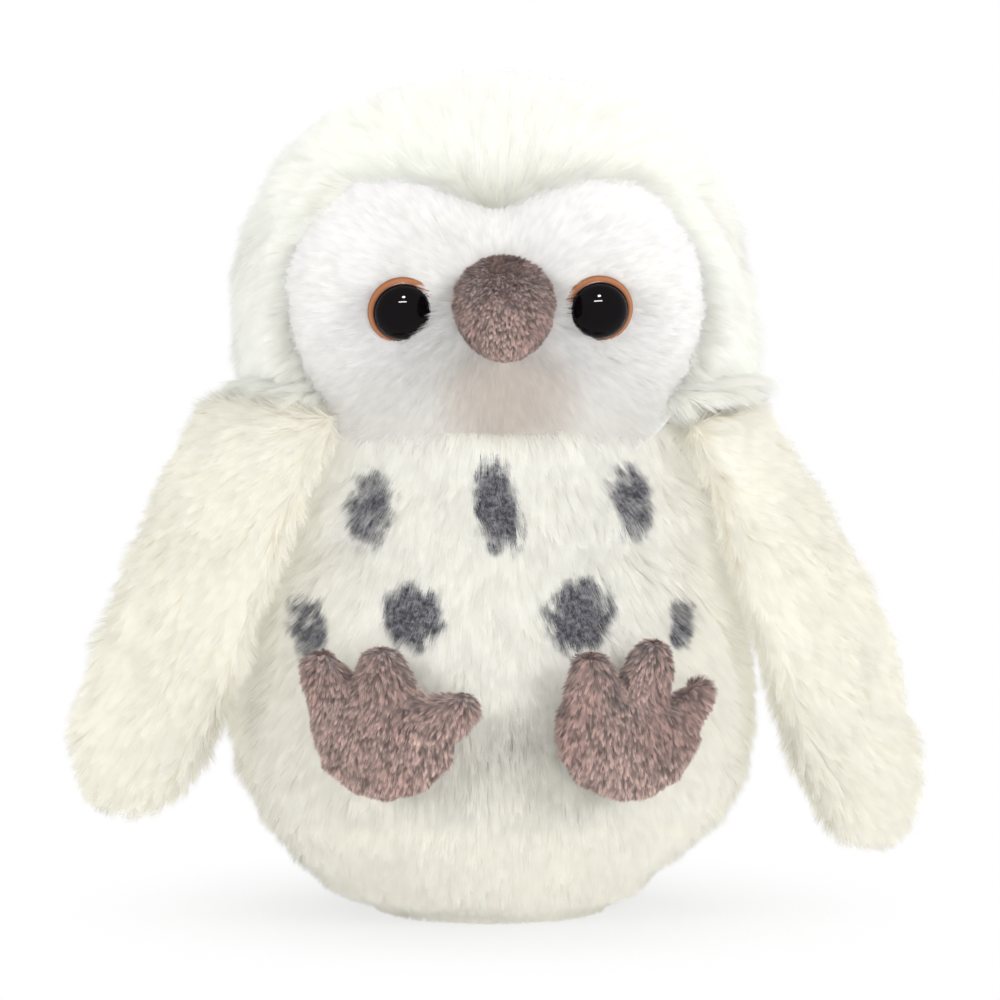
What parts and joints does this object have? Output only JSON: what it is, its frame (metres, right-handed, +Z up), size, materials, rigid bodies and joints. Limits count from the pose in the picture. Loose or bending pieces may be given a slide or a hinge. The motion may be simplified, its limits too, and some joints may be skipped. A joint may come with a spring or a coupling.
{
  "type": "plush owl",
  "caption": "Seated plush owl with a hooded round head, sunk two-lobed face, stuffed hooked beak, domed eyes, hanging flap wings and upright toed feet",
  "frame": {"origin": "middle of the flat seat that the toy rests on", "axes": "+Z up, the owl faces -Y, +X to the right of someone who looks at its face"},
  "size_m": [0.1837, 0.105, 0.182],
  "materials": {
    "cream_plush": "matte",
    "belly_plush": "matte",
    "face_plush": "matte",
    "mauve_plush": "matte",
    "stuffing": "matte",
    "pouch_cloth": "matte",
    "amber_plastic": "gloss",
    "black_plastic": "gloss",
    "washer_plastic": "matte"
  },
  "bodies": {
    "torso": {"belly_panel": "belly_plush", "back_left_panel": "cream_plush", "back_right_panel": "cream_plush", "seat_panel": "cream_plush", "torso_stuffing": "stuffing", "pellet_pouch": "pouch_cloth"},
    "head": {"face_panel": "face_plush", "hood_left_panel": "cream_plush", "hood_right_panel": "cream_plush", "hood_back_panel": "cream_plush", "head_stuffing": "stuffing", "beak_top_panel": "mauve_plush", "beak_under_panel": "mauve_plush", "beak_stuffing": "stuffing", "iris_left": "amber_plastic", "iris_right": "amber_plastic", "pupil_left": "black_plastic", "pupil_right": "black_plastic", "lock_washer_left": "washer_plastic", "lock_washer_right": "washer_plastic"},
    "left_wing": {"wing_left_front_panel": "cream_plush", "wing_left_back_panel": "cream_plush", "wing_left_stuffing": "stuffing"},
    "right_wing": {"wing_right_front_panel": "cream_plush", "wing_right_back_panel": "cream_plush", "wing_right_stuffing": "stuffing"},
    "left_foot": {"foot_left_sole": "mauve_plush", "foot_left_upper": "mauve_plush", "foot_left_stuffing": "stuffing"},
    "right_foot": {"foot_right_sole": "mauve_plush", "foot_right_upper": "mauve_plush", "foot_right_stuffing": "stuffing"}
  },
  "joints": [
    {"name": "head_twist", "type": "hinge", "parent": "torso", "child": "head", "pos_m": [0, 0, 0.102], "axis": [0, 0, 1], "range_deg": [-20, 20], "stiffness_Nm_per_rad": 0.05},
    {"name": "wing_left_lift", "type": "hinge", "parent": "torso", "child": "left_wing", "pos_m": [-0.04649, -0.02498, 0.10654], "axis": [-0.766, 0.6428, 0], "range_deg": [0, 85], "stiffness_Nm_per_rad": 0.004},
    {"name": "wing_right_lift", "type": "hinge", "parent": "torso", "child": "right_wing", "pos_m": [0.05009, -0.01644, 0.10709], "axis": [-0.5878, -0.809, 0], "range_deg": [0, 85], "stiffness_Nm_per_rad": 0.004},
    {"name": "foot_left_tip", "type": "hinge", "parent": "torso", "child": "left_foot", "pos_m": [-0.0222, -0.04616, 0.0315], "axis": [0.9371, -0.3491, 0], "range_deg": [0, 50], "stiffness_Nm_per_rad": 0.01},
    {"name": "foot_right_tip", "type": "hinge", "parent": "torso", "child": "right_foot", "pos_m": [0.0222, -0.04616, 0.0315], "axis": [0.9371, 0.3491, 0], "range_deg": [0, 50], "stiffness_Nm_per_rad": 0.01}
  ]
}
